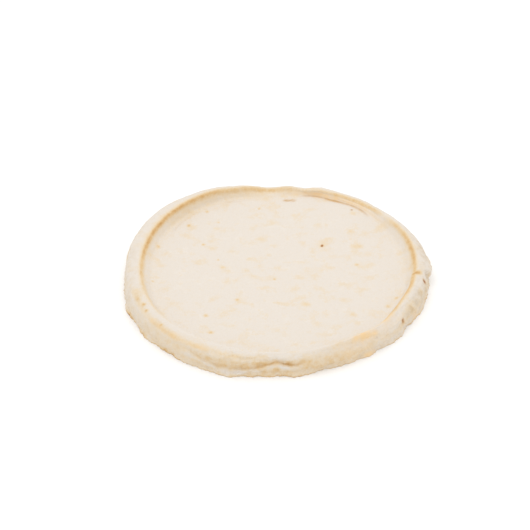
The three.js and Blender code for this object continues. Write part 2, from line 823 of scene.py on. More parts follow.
@dataclass(frozen=True)
class CrustForm:
    """The whole crust: a half section swept round a ring and then made uneven."""

    section: HalfSection = HalfSection()
    seam: Seam = Seam()
    fold: Fold = Fold()
    base_edge: BaseEdge = BaseEdge()
    inner_wall: InnerWall = InnerWall()
    slump: Slump = Slump()
    relief: Relief = Relief()
    bake: BakeMap = BakeMap()
    axis: tuple[float, float] = (-1.765, 1.169)
    weld_radius: float = 0.5
    steps_round: int = 700
    angle_samples: int = 3601
    outline: tuple[Swell, ...] = (
        Swell(12, 14, 3.0),
        Swell(90, 17, -5.0),
        Swell(138, 26, 4.0),
        Swell(182, 14, -2.6),
        Swell(245, 26, 2.5),
        Swell(267, 8, -3.0),
        Swell(300, 28, -4.5),
        Swell(329, 6, -2.0),
        Swell(270, 70, -1.5),
        Swell(338, 8, -0.9),
    )
    inner_edge: tuple[Swell, ...] = (
        Swell(22, 26, 2.7),
        Swell(116, 14, 2.2),
        Swell(178, 30, -5.2),
        Swell(308, 16, 1.5),
        Swell(332, 11, -2.4),
    )
    height: tuple[Swell, ...] = (
        Swell(50, 18, -1.5),
        Swell(94, 15, -4.3),
        Swell(127, 25, 2.0),
        Swell(272, 18, -1.5),
        Swell(300, 14, 2.0),
        Swell(103, 4, 0.9),
        Swell(92, 3, -0.7),
        Swell(85, 3, 0.9),
        Swell(77, 4, -2.2),
    )
    creases: tuple[Crease, ...] = (
        Crease(58, 80, Station.FLOOR_EDGE, -0.3, 0.0, 2.1, 0.1, 0.75),
        Crease(41, 68, Station.FLOOR_EDGE, -0.3, 0.0, 2.1, 0.1, 0.75),
        Crease(79, 87, Station.FLOOR_EDGE, 8.2, -6.7, 1.7, 0.6, 0.95),
        Crease(126, 152, Station.FLOOR_EDGE, -2.0, 2.5, 1.0, 0.4, 0.12),
        Crease(105, 116, Station.FLOOR_EDGE, 2.0, -4.5, 1.0, 0.4, 0.12),
        Crease(247, 284, Station.NECK, 1.4, 0.0, 0.7, 0.3, 0.15),
    )
    finer: tuple[Swell, ...] = (Swell(352, 7, 2.4), Swell(266, 17, 0.8))

    def ring_angles(self) -> np.ndarray:
        """Angles of the steps round the ring, closer together at the seam and the fold.

        Returns:
            The angles in degrees.
        """
        fine = np.linspace(0.0, FULL_TURN, self.angle_samples)
        density = np.ones_like(fine)
        for row in self.finer:
            gap = (fine - row.at + HALF_TURN) % FULL_TURN - HALF_TURN
            density += row.by * np.exp(-((gap / row.spread) ** 2))
        total = np.concatenate([[0.0], np.cumsum(density[1:])])
        wanted = np.linspace(0.0, total[-1], self.steps_round, endpoint=False)
        return np.interp(wanted, total, fine)

    def ring(self) -> bpy.types.Object:
        """Makes the closed line along which the section is swept.

        Returns:
            The line.
        """
        turn = np.radians(self.ring_angles())
        edge = self.section.base_radius * MM
        points = np.column_stack([np.cos(turn) * edge, np.sin(turn) * edge, np.zeros_like(turn)])
        return line_object("ring", points, closed=True)

    def profile(self) -> bpy.types.Object:
        """Makes the half section as a line in its own plane, outwards along +X and upwards along -Y.

        Returns:
            The line.
        """
        outline = self.section.outline()
        out = (outline[:, 0] - self.section.base_radius) * MM
        points = np.column_stack([out, outline[:, 1] * -MM, np.zeros(len(outline))])
        return line_object("half section", points, closed=False)

    def seam_gap(self, place: PlainPlace) -> Field:
        """Distance from the line of the seam, in millimetres, positive towards the back."""
        gap = place.away(self.seam.at) * place.radius * math.radians(1)
        return gap - (place.radius - self.section.inner_edge) * self.seam.lean

    def seam_share(self, place: PlainPlace) -> Field:
        """Is 1 along the seam, and 0 away from its line and beyond its ends.

        Args:
            place: Places on the plain ring.

        Returns:
            The share.
        """
        at = self.section.along_at
        ends = place.along.rise(at(Station.SHOULDER), at(Station.CREST))
        ends = ends * place.along.fall(at(Station.INNER_EDGE), at(Station.WALL))
        return (self.seam_gap(place) / self.seam.width).hump() * ends

    def fold_gap(self, place: PlainPlace) -> Field:
        """Height above the line of the fold, in millimetres.

        Args:
            place: Places on the plain ring.

        Returns:
            The height.
        """
        fold = self.fold
        unrest = place.sheet.noise(place.spot, fold.unrest_size, fold.unrest_seed)
        return place.height - place.swells(fold.waves, fold.height) - unrest * fold.unrest

    def on_outer_wall(self, place: PlainPlace) -> Field:
        """Is 1 on the outer wall and 0 inside the crest of the rim."""
        at = self.section.along_at
        return place.along.fall(at(Station.SHOULDER), at(Station.CREST))

    def crease_share(self, place: PlainPlace, crease: Crease) -> Field:
        """Is 1 along a crease, and 0 away from its line and beyond its ends.

        Args:
            place: Places on the plain ring.
            crease: The crease.

        Returns:
            The share.
        """
        first = self.section.along_at(crease.station) + crease.offset
        middle = place.away(crease.start) * (crease.slant / crease.length) + first
        ends = place.arc(crease.start + crease.fade, crease.end - crease.fade, crease.fade)
        return place.band(middle, middle, crease.width, crease.width) * ends

    def fold_offset(self, place: PlainPlace) -> Field:
        """How far the fold moves the outer wall, in millimetres outwards.

        Args:
            place: Places on the plain ring.

        Returns:
            The distance.
        """
        fold, gap = self.fold, self.fold_gap(place)
        above = (gap.positive() / fold.undercut).hump()
        below = ((-gap).positive() / fold.width).hump()
        roll = ((gap - fold.roll_height) / fold.undercut).hump() * fold.roll
        share = place.swells(fold.strength) * self.on_outer_wall(place)
        return (roll - above * below * fold.groove) * share

    def seam_offset(self, place: PlainPlace) -> Field:
        """How far the seam's notch and knob move the outer wall, in millimetres outwards.

        Args:
            place: Places on the plain ring.

        Returns:
            The distance.
        """
        seam = self.seam
        knob = place.bell(seam.at + seam.knob_offset, seam.knob_spread)
        knob = knob * ((place.height - seam.knob_height) / seam.knob_rise).hump()
        upper = place.height.rise(seam.notch_foot, seam.notch_head)
        notch = place.bell(seam.at + seam.notch_offset, seam.notch_spread) * upper
        at = self.section.along_at
        notch = notch * place.along.fall(at(Station.FLANK), at(Station.SHOULDER))
        rough = place.sheet.noise(place.spot, seam.rough_size, seam.rough_seed)
        rough = rough * place.bell(seam.at + seam.knob_offset, seam.rough_spread) * upper
        return knob * seam.knob - notch * seam.notch + rough * seam.rough

    def base_offset(self, place: PlainPlace) -> Field:
        """How far the torn base edge and the neck above it stand out, in millimetres.

        Args:
            place: Places on the plain ring.

        Returns:
            The distance.
        """
        edge, sheet = self.base_edge, place.sheet
        ragged = sheet.noise(place.spot, edge.ragged_size, edge.ragged_seed) * edge.ragged
        torn = sheet.noise(place.spot, edge.torn_size, edge.torn_seed, COARSE_DETAIL) * edge.torn
        low = (place.height / edge.height).hump()
        neck = ((place.height - edge.neck_height) / edge.neck_spread).hump() * place.around(edge.neck)
        return (place.swells(edge.swells) + ragged + torn - edge.inset) * low - neck

    def wall_offset(self, place: PlainPlace) -> Field:
        """How far the inner wall and the floor before it move outwards where it stands more upright.

        Args:
            place: Places on the plain ring.

        Returns:
            The distance.
        """
        wall, section = self.inner_wall, self.section
        reach = (section.inner_edge - place.radius).positive()
        reach = place.sheet.math("MINIMUM", reach, section.wall_run)
        share = place.around(wall.upright) * place.radius.rise(wall.still_radius, wall.moved_radius)
        return reach * share * place.height.rise(wall.low, wall.high)

    def floor_lift(self, place: PlainPlace) -> Field:
        """How far the floor rises towards the foot of the inner wall, in millimetres.

        Args:
            place: Places on the plain ring.

        Returns:
            The distance.
        """
        wall, section = self.inner_wall, self.section
        share = place.radius.rise(wall.still_radius, wall.moved_radius)
        share = share * place.height.rise(wall.low, wall.high)
        share = share * place.height.fall(section.floor_thickness, section.rim_height)
        share = share * place.radius.fall(section.inner_edge, section.base_radius)
        return share * place.around(wall.lift)

    def slumped(self, place: PlainPlace) -> Field:
        """How far the shoulder has sunk, in millimetres.

        Args:
            place: Places on the plain ring.

        Returns:
            The distance.
        """
        shoulder = self.section.along_at(Station.SHOULDER)
        share = ((place.along - shoulder) / self.slump.reach).hump()
        return share * place.around(self.slump.sunk)

    def outward_offset(self, place: PlainPlace) -> Field:
        """How far a point of the plain ring moves outwards, in millimetres.

        Args:
            place: Places on the plain ring.

        Returns:
            The distance.
        """
        section = self.section
        outer = place.radius.rise(section.inner_edge, section.base_radius - section.sheet_edge)
        inner = (1.0 - outer) * place.radius.rise(section.inner_edge / 2, section.inner_edge)
        outline = place.swells(self.outline) + self.fold_offset(place)
        outline = outline + self.seam_offset(place) + self.base_offset(place)
        outline = outline + self.slumped(place) * self.slump.outward
        return outline * outer + place.swells(self.inner_edge) * inner + self.wall_offset(place)

    def upward_offset(self, place: PlainPlace) -> Field:
        """How far a point of the plain ring moves upwards, in millimetres.

        Args:
            place: Places on the plain ring.

        Returns:
            The distance.
        """
        section, seam, fold = self.section, self.seam, self.fold
        rim = place.height.rise(section.floor_thickness, section.rim_height)
        rise = place.swells(self.height) - place.bell(seam.at, seam.spread) * seam.drop
        sagging = ((self.fold_gap(place) - fold.width) / fold.width).hump()
        sagging = sagging * place.swells(fold.strength) * self.on_outer_wall(place)
        return rise * rim + self.floor_lift(place) - sagging * fold.sag - self.slumped(place)

    def relief_offset(self, place: PlainPlace) -> Field:
        """How far the skin stands out along its normal, in millimetres.

        Args:
            place: Places on the plain ring.

        Returns:
            The distance.
        """
        relief, section, sheet = self.relief, self.section, place.sheet
        at = section.along_at
        top = place.along.rise(at(Station.BASE), at(Station.NECK))
        rim = place.radius.rise(section.floor_edge, section.inner_edge)
        rim = rim * (1.0 - relief.floor_share) + relief.floor_share

        lumps = sheet.noise(place.spot, relief.lump_size, relief.lump_seed) * relief.lump
        skin = sheet.noise(place.spot, relief.skin_size, relief.skin_seed) * relief.skin
        round_rim = place.angle * math.radians(section.base_radius) / relief.wrinkle_stretch
        stretched = sheet.vector(round_rim, place.radius, place.height)
        wrinkles = sheet.noise(stretched, relief.wrinkle_size, relief.wrinkle_seed) * relief.wrinkle
        wrinkles = wrinkles * place.along.fall(at(Station.CREST), at(Station.INNER_EDGE))
        wrinkles = wrinkles * place.around(relief.wrinkled)
        mottle = sheet.noise(place.spot, relief.mottle_size, relief.mottle_seed, FINE_DETAIL)
        mottle = mottle * relief.mottle * place.around(relief.mottled) * self.on_outer_wall(place)
        away, chance = sheet.cells(place.spot, relief.blister_size)
        blister = (away / (chance * relief.blister_radius + relief.blister_least)).hump()
        blister = blister * chance.rise(relief.blister_from, relief.blister_full)

        raised = (lumps + skin + blister * relief.blister) * rim + wrinkles + mottle
        cut = self.seam_share(place) * self.seam.depth
        for crease in self.creases:
            cut = self.crease_share(place, crease) * crease.depth + cut
        return raised * top - cut

    def sizes(self) -> dict[str, float]:
        """Every plain number of the form's parts, by the name of its input in the tree.

        Returns:
            The numbers.
        """
        found = {}
        for part in fields(self):
            sizes = getattr(self, part.name)
            if isinstance(sizes, (Seam, Fold, BaseEdge, InnerWall, Slump, Relief)):
                numbers = {item.name: getattr(sizes, item.name) for item in fields(sizes)}
                found |= {f"{part.name} {k}": v for k, v in numbers.items() if isinstance(v, float)}
        return found

    def with_inputs(self, sheet: NodeSheet, inputs: bpy.types.Node) -> "CrustForm":
        """Puts the tree's inputs in the place of the form's plain numbers.

        Args:
            sheet: The sheet of the tree.
            inputs: The node that gives its inputs.

        Returns:
            The same form, worked out from the inputs.
        """
        parts = {}
        for name in self.sizes():
            part, size = name.split(" ")
            parts.setdefault(part, {})[size] = Field(sheet, inputs.outputs[name])
        return replace(self, **{k: replace(getattr(self, k), **v) for k, v in parts.items()})

    def tree(self, finish: "DoughFinish") -> bpy.types.NodeTree:
        """Builds the tree that sweeps the section, makes it uneven and marks its colours: toasting,
        creases, and where shade and light are painted.

        Args:
            finish: The dough's finish, which says what is toasted and where shade and light are
                painted.

        Returns:
            The tree.
        """
        tree = bpy.data.node_groups.new("uneven crust", "GeometryNodeTree")
        kinds = {name: "NodeSocketObject" for name in ("Ring", "Section")}
        kinds |= {"Material": "NodeSocketMaterial"}
        kinds |= {name: "NodeSocketFloat" for name in self.sizes()}
        for name, kind in kinds.items():
            tree.interface.new_socket(name, in_out="INPUT", socket_type=kind)
        tree.interface.new_socket("Crust", in_out="OUTPUT", socket_type="NodeSocketGeometry")
        sheet = NodeSheet(tree)
        inputs = sheet.node("NodeGroupInput")
        sized = self.with_inputs(sheet, inputs)

        plain = self.swept(sheet, inputs)
        place = self.plain_place(sheet)
        made = sized.shaped(sheet, plain, place)
        made = stored(sheet, made, "FLOAT", "toast", finish.toast(sized, place))
        made = stored(sheet, made, "FLOAT", "crease", finish.creases(sized, place))
        made = stored(sheet, made, "FLOAT", "shade", finish.shade(sized, place))
        made = stored(sheet, made, "FLOAT", "amber", finish.amber(sized, place))
        made = self.bake_map(sheet, made, place)
        for name in ("plain", "along"):
            gone = sheet.node("GeometryNodeRemoveAttribute")
            sheet.feed(gone.inputs["Geometry"], made)
            sheet.feed(gone.inputs["Name"], name)
            made = gone.outputs[0]

        smooth = sheet.node("GeometryNodeSetShadeSmooth")
        sheet.feed(smooth.inputs["Geometry"], made)
        real = sheet.node("GeometryNodeRealizeInstances")
        sheet.feed(real.inputs["Geometry"], smooth.outputs[0])
        dressed = sheet.node("GeometryNodeSetMaterial")
        sheet.feed(dressed.inputs["Geometry"], real.outputs[0])
        sheet.feed(dressed.inputs["Material"], inputs.outputs["Material"])
        sheet.feed(sheet.node("NodeGroupOutput").inputs["Crust"], dressed.outputs[0])
        return tree

    def swept(self, sheet: NodeSheet, inputs: bpy.types.Node) -> bpy.types.NodeSocket:
        """Sweeps the section round the ring and stores where each point then lies.

        Args:
            sheet: The sheet of the tree.
            inputs: The node that gives its inputs.

        Returns:
            The plain ring.
        """
        lines = {}
        for name in ("Ring", "Section"):
            info = sheet.node("GeometryNodeObjectInfo", transform_space="ORIGINAL")
            sheet.feed(info.inputs["Object"], inputs.outputs[name])
            lines[name] = info.outputs["Geometry"]
        length = sheet.node("GeometryNodeSplineParameter").outputs["Length"]
        section = stored(sheet, lines["Section"], "FLOAT", "along", Field(sheet, length) / MM)
        sweep = sheet.node("GeometryNodeCurveToMesh")
        sheet.feed(sweep.inputs["Curve"], lines["Ring"])
        sheet.feed(sweep.inputs["Profile Curve"], section)

        position = Field(sheet, sheet.node("GeometryNodeInputPosition").outputs[0])
        spot = sheet.vector_math("SCALE", position, 1 / MM)
        flat = sheet.vector_math("MULTIPLY", spot, (1, 1, 0))
        from_axis = sheet.vector_math("DISTANCE", flat, (0, 0, 0))
        weld = sheet.node("GeometryNodeMergeByDistance")
        sheet.feed(weld.inputs["Geometry"], sweep.outputs[0])
        sheet.feed(weld.inputs["Selection"], sheet.math("LESS_THAN", from_axis, self.weld_radius))
        sheet.feed(weld.inputs["Distance"], MM)
        turned = sheet.node("GeometryNodeFlipFaces")
        sheet.feed(turned.inputs["Mesh"], weld.outputs[0])
        return stored(sheet, turned.outputs[0], "FLOAT_VECTOR", "plain", spot)

    def shaped(
        self, sheet: NodeSheet, plain: bpy.types.NodeSocket, place: PlainPlace
    ) -> bpy.types.NodeSocket:
        """Makes the plain ring uneven.

        Args:
            sheet: The sheet of the tree.
            plain: The plain ring.
            place: Places on it.

        Returns:
            The uneven crust.
        """
        x, y, _ = sheet.parts(place.spot)
        stretch = (place.radius + self.outward_offset(place)) / place.radius
        uneven = sheet.vector(
            x * stretch + self.axis[0],
            y * stretch + self.axis[1],
            place.height + self.upward_offset(place),
        )
        moved = sheet.node("GeometryNodeSetPosition")
        sheet.feed(moved.inputs["Geometry"], plain)
        sheet.feed(moved.inputs["Position"], sheet.vector_math("SCALE", uneven, MM))

        normal = Field(sheet, sheet.node("GeometryNodeInputNormal").outputs[0])
        skinned = sheet.node("GeometryNodeSetPosition")
        sheet.feed(skinned.inputs["Geometry"], moved.outputs[0])
        offset = sheet.vector_math("SCALE", normal, self.relief_offset(place) * MM)
        sheet.feed(skinned.inputs["Offset"], offset)
        return skinned.outputs[0]

    def plain_place(self, sheet: NodeSheet) -> PlainPlace:
        """Reads back where each point lay on the plain ring.

        Args:
            sheet: The sheet of the tree.

        Returns:
            The places.
        """
        spot = named(sheet, "FLOAT_VECTOR", "plain")
        x, y, z = sheet.parts(spot)
        radius = sheet.math("SQRT", x * x + y * y)
        angle = sheet.math("DEGREES", sheet.math("ARCTAN2", y, x))
        along = named(sheet, "FLOAT", "along")
        return PlainPlace(sheet, spot, radius, z, angle, along, swell_tree())

    def bake_map(
        self, sheet: NodeSheet, geometry: bpy.types.NodeSocket, place: PlainPlace
    ) -> bpy.types.NodeSocket:
        """Stores a texture map of two discs: the top with the rim unrolled, and the underside.

        Args:
            sheet: The sheet of the tree.
            geometry: The crust so far.
            place: Places on the plain ring.

        Returns:
            The crust with its map.
        """
        bake = self.bake
        length = float(self.section.along()[-1])
        base = self.section.along_at(Station.BASE)
        under = sheet.node("GeometryNodeFieldOnDomain", data_type="FLOAT", domain="FACE")
        sheet.feed(under.inputs[0], place.along.fall(base - bake.step, base + bake.step))
        is_under = sheet.math("GREATER_THAN", Field(sheet, under.outputs[0]), 0.5)

        x, y, _ = sheet.parts(place.spot)
        top_scale = (length - place.along) * (0.5 * bake.top / (length - base))
        under_scale = place.along * (0.5 * bake.under / base)
        scale = (under_scale - top_scale) * is_under + top_scale
        top_middle = 0.5 * bake.top + bake.margin
        under_middle = 1 - 0.5 * bake.under - bake.margin
        middle = is_under * (under_middle - top_middle) + top_middle
        u = x / place.radius * scale + middle
        v = y / place.radius * scale + middle
        spread = sheet.vector(u, v, 0.0)
        return stored(sheet, geometry, "FLOAT2", "OFBake", spread, "CORNER")

    def build(self, finish: "DoughFinish") -> bpy.types.Object:
        """Makes the finished piece.

        Args:
            finish: The dough's finish.

        Returns:
            The crust as a plain mesh.
        """
        tree = self.tree(finish)
        given = {"Ring": self.ring(), "Section": self.profile(), "Material": finish.material()}
        given |= self.sizes()
        carrier = bpy.data.objects.new("crust carrier", bpy.data.meshes.new("crust carrier"))
        bpy.context.scene.collection.objects.link(carrier)
        modifier = carrier.modifiers.new("uneven crust", "NODES")
        modifier.node_group = tree
        for item in tree.interface.items_tree:
            if item.name in given and item.in_out == "INPUT":
                modifier[item.identifier] = given[item.name]

        depsgraph = bpy.context.evaluated_depsgraph_get()
        mesh = bpy.data.meshes.new_from_object(
            carrier.evaluated_get(depsgraph), preserve_all_data_layers=True, depsgraph=depsgraph
        )
        mesh.name = "crust_bread"
        for spare in (carrier, given["Ring"], given["Section"]):
            bpy.data.objects.remove(spare)
        piece = bpy.data.objects.new("crust_bread", mesh)
        bpy.context.scene.collection.objects.link(piece)
        return piece


def line_object(name: str, points: np.ndarray, closed: bool) -> bpy.types.Object:
    """Makes a line through points.

    Args:
        name: Name of the line.
        points: Its points, in metres.
        closed: Whether it runs back to its first point.

    Returns:
        The line as a curve object of the scene.
    """
    curve = bpy.data.curves.new(name, "CURVE")
    curve.dimensions = "3D"
    spline = curve.splines.new("POLY")
    spline.points.add(len(points) - 1)
    spline.points.foreach_set("co", np.column_stack([points, np.ones(len(points))]).ravel())
    spline.use_cyclic_u = closed
    made = bpy.data.objects.new(name, curve)
    bpy.context.scene.collection.objects.link(made)
    return made


def stored(
    sheet: NodeSheet,
    geometry: bpy.types.NodeSocket,
    kind: str,
    name: str,
    value: Field,
    domain: str = "POINT",
) -> bpy.types.NodeSocket:
    """Stores a field on a geometry under a name.

    Args:
        sheet: The sheet of the tree.
        geometry: The geometry.
        kind: Blender's name for the type of the value.
        name: Name of the attribute.
        value: The field.
        domain: Whether it is stored for each point or each corner of a face.

    Returns:
        The geometry with the attribute.
    """
    made = sheet.node("GeometryNodeStoreNamedAttribute", data_type=kind, domain=domain)
    sheet.feed(made.inputs["Geometry"], geometry)
    sheet.feed(made.inputs["Name"], name)
    sheet.feed(made.inputs["Value"], value)
    return made.outputs[0]


def named(sheet: NodeSheet, kind: str, name: str) -> Field:
    """Reads an attribute that was stored under a name.

    Args:
        sheet: The sheet of the tree.
        kind: Blender's name for the type of the value.
        name: Name of the attribute.

    Returns:
        The attribute.
    """
    made = sheet.node("GeometryNodeInputNamedAttribute", data_type=kind)
    sheet.feed(made.inputs["Name"], name)
    return Field(sheet, made.outputs["Attribute"])


class SpeckKind(Enum):
    """What a speck of the skin looks like."""

    TAN = "tan"
    DARK = "dark"
    SMUDGE = "smudge"
    AMBER = "amber"


@dataclass(frozen=True)
class Speck:
    """One spot at a place of the part's frame in millimetres: most baked darker, the greyer kind is
    partly painted shade, and the bright golden kind is painted light.
    """

    x: float
    y: float
    radius: float
    strength: float
    z: float = 11.0
    kind: SpeckKind = SpeckKind.TAN


@dataclass(frozen=True)
class Band:
    """A band of colour that follows a stretch of the section round the rim.

    Attributes:
        first: End of the stretch towards the underside.
        last: End of the stretch towards the floor.
        strength: How strongly it shows, from 0 to 1.
        outward: Width of its fade towards the underside.
        inward: Width of its fade towards the floor.
        shift: How much further in it lies, along the section.
        patchy: Share of it that comes and goes in patches.
        patch_size: Size of these patches.
    """

    first: Station
    last: Station
    strength: Around
    outward: Around
    inward: Around
    shift: Around = Around()
    patchy: float = 0.0
    patch_size: float = 24.0


BROWNED_EDGE = Band(
    Station.INNER_EDGE,
    Station.INNER_EDGE,
    strength=Around(
        0.42,
        (
            Swell(268, 42, -0.95),
            Swell(162, 24, 0.28),
            Swell(130, 18, 0.24),
            Swell(98, 8, 0.14),
            Swell(74, 8, -0.12),
            Swell(50, 8, 0.12),
            Swell(35.5, 3.5, -0.3),
            Swell(8, 12, 0.26),
            Swell(342, 10, 0.3),
            Swell(325, 8, 0.3),
        ),
    ),
    outward=Around(
        2.5,
        (
            Swell(110, 25, 0.8),
            Swell(101, 7, 1.4),
            Swell(52, 16, 2.2),
            Swell(26, 14, 1.0),
            Swell(330, 16, 1.2),
        ),
    ),
    inward=Around(2.9, (Swell(110, 25, 1.0), Swell(84, 7, 1.8), Swell(62, 16, 0.5))),
    shift=Around(0.0, (Swell(103, 18, 0.8), Swell(50, 14, -1.0), Swell(333, 12, 0.6))),
)
TOASTED_SHOULDER = Band(
    Station.SHOULDER,
    Station.SHOULDER,
    strength=Around(
        0.0,
        (
            Swell(203, 5, 0.35),
            Swell(211, 5, 0.25),
            Swell(222, 6, 0.42),
            Swell(231.5, 5, 0.42),
            Swell(241.5, 5, 0.4),
            Swell(257, 9, 0.15),
        ),
    ),
    outward=Around(2.8),
    inward=Around(3.2),
    shift=Around(0.0, (Swell(245, 6, 1.2), Swell(203, 9, 2.5))),
    patchy=0.15,
)
GOLDEN_PATCH = Band(
    Station.SHOULDER,
    Station.SHOULDER,
    strength=Around(0.0, (Swell(304, 8, 0.16), Swell(291, 12, 0.1))),
    outward=Around(5.0),
    inward=Around(3.6),
    shift=Around(3.6),
    patchy=0.25,
    patch_size=6.0,
)
TOASTED_ROLL = Band(
    Station.SHOULDER,
    Station.SHOULDER,
    strength=Around(0.0, (Swell(257, 10, 0.3),)),
    outward=Around(3.5),
    inward=Around(2.5),
    patchy=0.7,
    patch_size=4.0,
)
RIGHT_SIDE = Band(
    Station.BELLY,
    Station.SHOULDER,
    strength=Around(0.0, (Swell(330, 12, 0.2),)),
    outward=Around(2.5),
    inward=Around(2.5),
    patchy=0.6,
    patch_size=5.0,
)
TOASTED_BASE_EDGE = Band(
    Station.TIP,
    Station.TIP,
    strength=Around(
        0.12,
        (
            Swell(204.5, 3, 0.5),
            Swell(215.5, 4, 0.5),
            Swell(227, 3, 0.5),
            Swell(232, 2.5, 0.4),
            Swell(265, 12, 0.2),
            Swell(346, 14, 0.1),
        ),
    ),
    outward=Around(2.2),
    inward=Around(3.0),
    patchy=0.4,
    patch_size=8.0,
)
# Toasting of the outer wall, strongest at the front, where it also darkens the wall as painted shade;
# the dip at 315 degrees is painted light on a slope that the lamps leave darker.
OUTER_WALL = Band(
    Station.BELLY,
    Station.FLANK,
    strength=Around(0.1, (Swell(268, 45, 0.42), Swell(315, 8, -0.14))),
    outward=Around(7.0),
    inward=Around(3.0, (Swell(288, 12, 3.0),)),
    shift=Around(0.0, (Swell(310, 25, -2.5),)),
    patchy=0.4,
    patch_size=7.0,
)
# Toasting of the inner wall, which at the back left also stands in for that wall's shade as painted
# shade.
INNER_WALL = Band(
    Station.WALL,
    Station.FOOT,
    strength=Around(0.04, (Swell(126, 34, 0.11), Swell(101, 7, 0.08), Swell(78, 8, 0.1))),
    outward=Around(2.0),
    inward=Around(4.0),
)
# Bright golden bands: toasting on the inner wall at the back right, the shoulder at the front left
# and the inner edge at the right, brightened as painted light where the lamps leave them darker.
GOLDEN_WALL_PAINTED_LIGHT = Band(
    Station.WALL,
    Station.FOOT,
    strength=Around(0.0, (Swell(57, 16, 0.8), Swell(74, 8, 0.4))),
    outward=Around(2.5),
    inward=Around(1.5),
    patchy=0.2,
    patch_size=8.0,
)
GOLDEN_SHOULDER_PAINTED_LIGHT = Band(
    Station.SHOULDER,
    Station.SHOULDER,
    strength=Around(0.0, (Swell(221, 4.5, 0.5), Swell(231, 4, 0.5), Swell(242, 3.5, 0.5))),
    outward=Around(2.8),
    inward=Around(3.2),
    shift=Around(0.0, (Swell(245, 6, 1.2),)),
    patchy=0.6,
    patch_size=6.0,
)
GOLDEN_EDGE_PAINTED_LIGHT = Band(
    Station.INNER_EDGE,
    Station.INNER_EDGE,
    strength=Around(0.0, (Swell(338, 14, 0.5),)),
    outward=Around(2.0),
    inward=Around(1.5),
    shift=Around(0.0, (Swell(333, 12, 0.6),)),
)
UNDERSIDE = Band(
    Station.BASE,
    Station.BASE,
    strength=Around(0.5),
    outward=Around(NO_FADE),
    inward=Around(1.0),
    patchy=0.5,
)


